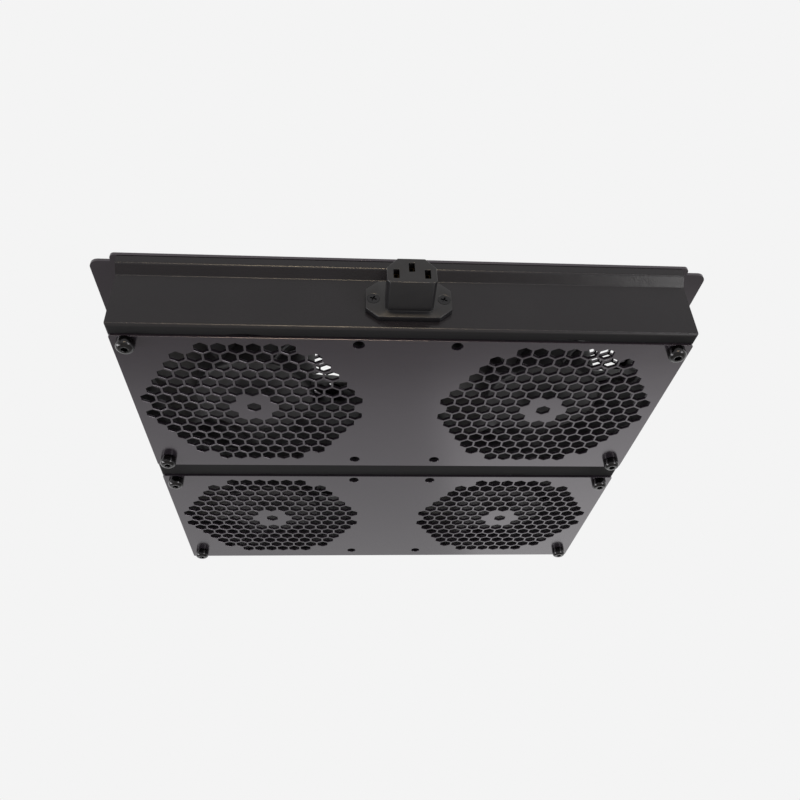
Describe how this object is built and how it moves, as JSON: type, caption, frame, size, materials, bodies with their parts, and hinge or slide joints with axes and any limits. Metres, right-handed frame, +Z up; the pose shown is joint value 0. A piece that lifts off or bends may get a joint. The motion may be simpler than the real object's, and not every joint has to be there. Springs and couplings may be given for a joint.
{
  "type": "rack fan tray",
  "caption": "Flat steel tray holding mains axial fans between honeycomb grilles, with side mounting ears and a three-slot mains socket on its rear wall.",
  "frame": {"origin": "centre of the four ear holes, on the underside of the deck's mounting ears", "axes": "+Z up out of the deck, -Y out of the rear wall that carries the mains socket, +X to the right seen from behind the socket looking along +Y"},
  "size_m": [0.301, 0.2799, 0.055],
  "materials": {
    "tray_powder_coat": "matte",
    "plate_satin_coat": "satin",
    "fan_casting": "satin",
    "impeller_plastic": "matte",
    "socket_plastic": "satin",
    "terminal_plastic": "matte",
    "black_oxide": "gloss",
    "zinc_plate": "satin",
    "contact_brass": "satin",
    "bearing_steel": "polished",
    "core_steel": "satin",
    "rotor_steel": "satin",
    "winding_copper": "satin",
    "lead_insulation": "satin",
    "receptacle_nylon": "satin",
    "earth_insulation": "satin"
  },
  "bodies": {
    "tray": {"clamp_nuts": "zinc_plate", "clamp_screws": "black_oxide", "earth_lead": "earth_insulation", "earth_nut": "zinc_plate", "earth_stud": "zinc_plate", "earth_tag": "zinc_plate", "fan_leads": "lead_insulation", "front_grille_plate": "plate_satin_coat", "front_left_fan_bearings": "bearing_steel", "front_left_fan_frame": "fan_casting", "front_left_fan_motor_mount": "fan_casting", "front_left_fan_stator_core": "core_steel", "front_left_fan_windings": "winding_copper", "front_right_fan_bearings": "bearing_steel", "front_right_fan_frame": "fan_casting", "front_right_fan_motor_mount": "fan_casting", "front_right_fan_stator_core": "core_steel", "front_right_fan_windings": "winding_copper", "lead_receptacles": "receptacle_nylon", "rear_grille_plate": "plate_satin_coat", "rear_left_fan_bearings": "bearing_steel", "rear_left_fan_frame": "fan_casting", "rear_left_fan_motor_mount": "fan_casting", "rear_left_fan_stator_core": "core_steel", "rear_left_fan_windings": "winding_copper", "rear_right_fan_bearings": "bearing_steel", "rear_right_fan_frame": "fan_casting", "rear_right_fan_motor_mount": "fan_casting", "rear_right_fan_stator_core": "core_steel", "rear_right_fan_windings": "winding_copper", "socket_contacts": "contact_brass", "socket_housing": "socket_plastic", "socket_nuts": "zinc_plate", "socket_screws": "black_oxide", "supply_leads": "lead_insulation", "terminal_bars": "contact_brass", "terminal_box": "terminal_plastic", "terminal_box_lid": "terminal_plastic", "terminal_box_screws": "zinc_plate", "top_deck": "plate_satin_coat", "tray_body": "tray_powder_coat"},
    "rear_left_rotor": {"rear_left_fan_rotor_cup": "rotor_steel", "rear_left_fan_shaft": "bearing_steel", "rear_left_fan_impeller": "impeller_plastic"},
    "rear_right_rotor": {"rear_right_fan_rotor_cup": "rotor_steel", "rear_right_fan_shaft": "bearing_steel", "rear_right_fan_impeller": "impeller_plastic"},
    "front_left_rotor": {"front_left_fan_rotor_cup": "rotor_steel", "front_left_fan_shaft": "bearing_steel", "front_left_fan_impeller": "impeller_plastic"},
    "front_right_rotor": {"front_right_fan_rotor_cup": "rotor_steel", "front_right_fan_shaft": "bearing_steel", "front_right_fan_impeller": "impeller_plastic"}
  },
  "joints": [
    {"name": "rear_left_fan_spin", "type": "hinge", "parent": "tray", "child": "rear_left_rotor", "pos_m": [-0.0755, -0.065, -0.02], "axis": [0, 0, 1], "continuous": true},
    {"name": "rear_right_fan_spin", "type": "hinge", "parent": "tray", "child": "rear_right_rotor", "pos_m": [0.0755, -0.065, -0.02], "axis": [0, 0, 1], "continuous": true},
    {"name": "front_left_fan_spin", "type": "hinge", "parent": "tray", "child": "front_left_rotor", "pos_m": [-0.0755, 0.065, -0.02], "axis": [0, 0, 1], "continuous": true},
    {"name": "front_right_fan_spin", "type": "hinge", "parent": "tray", "child": "front_right_rotor", "pos_m": [0.0755, 0.065, -0.02], "axis": [0, 0, 1], "continuous": true}
  ]
}
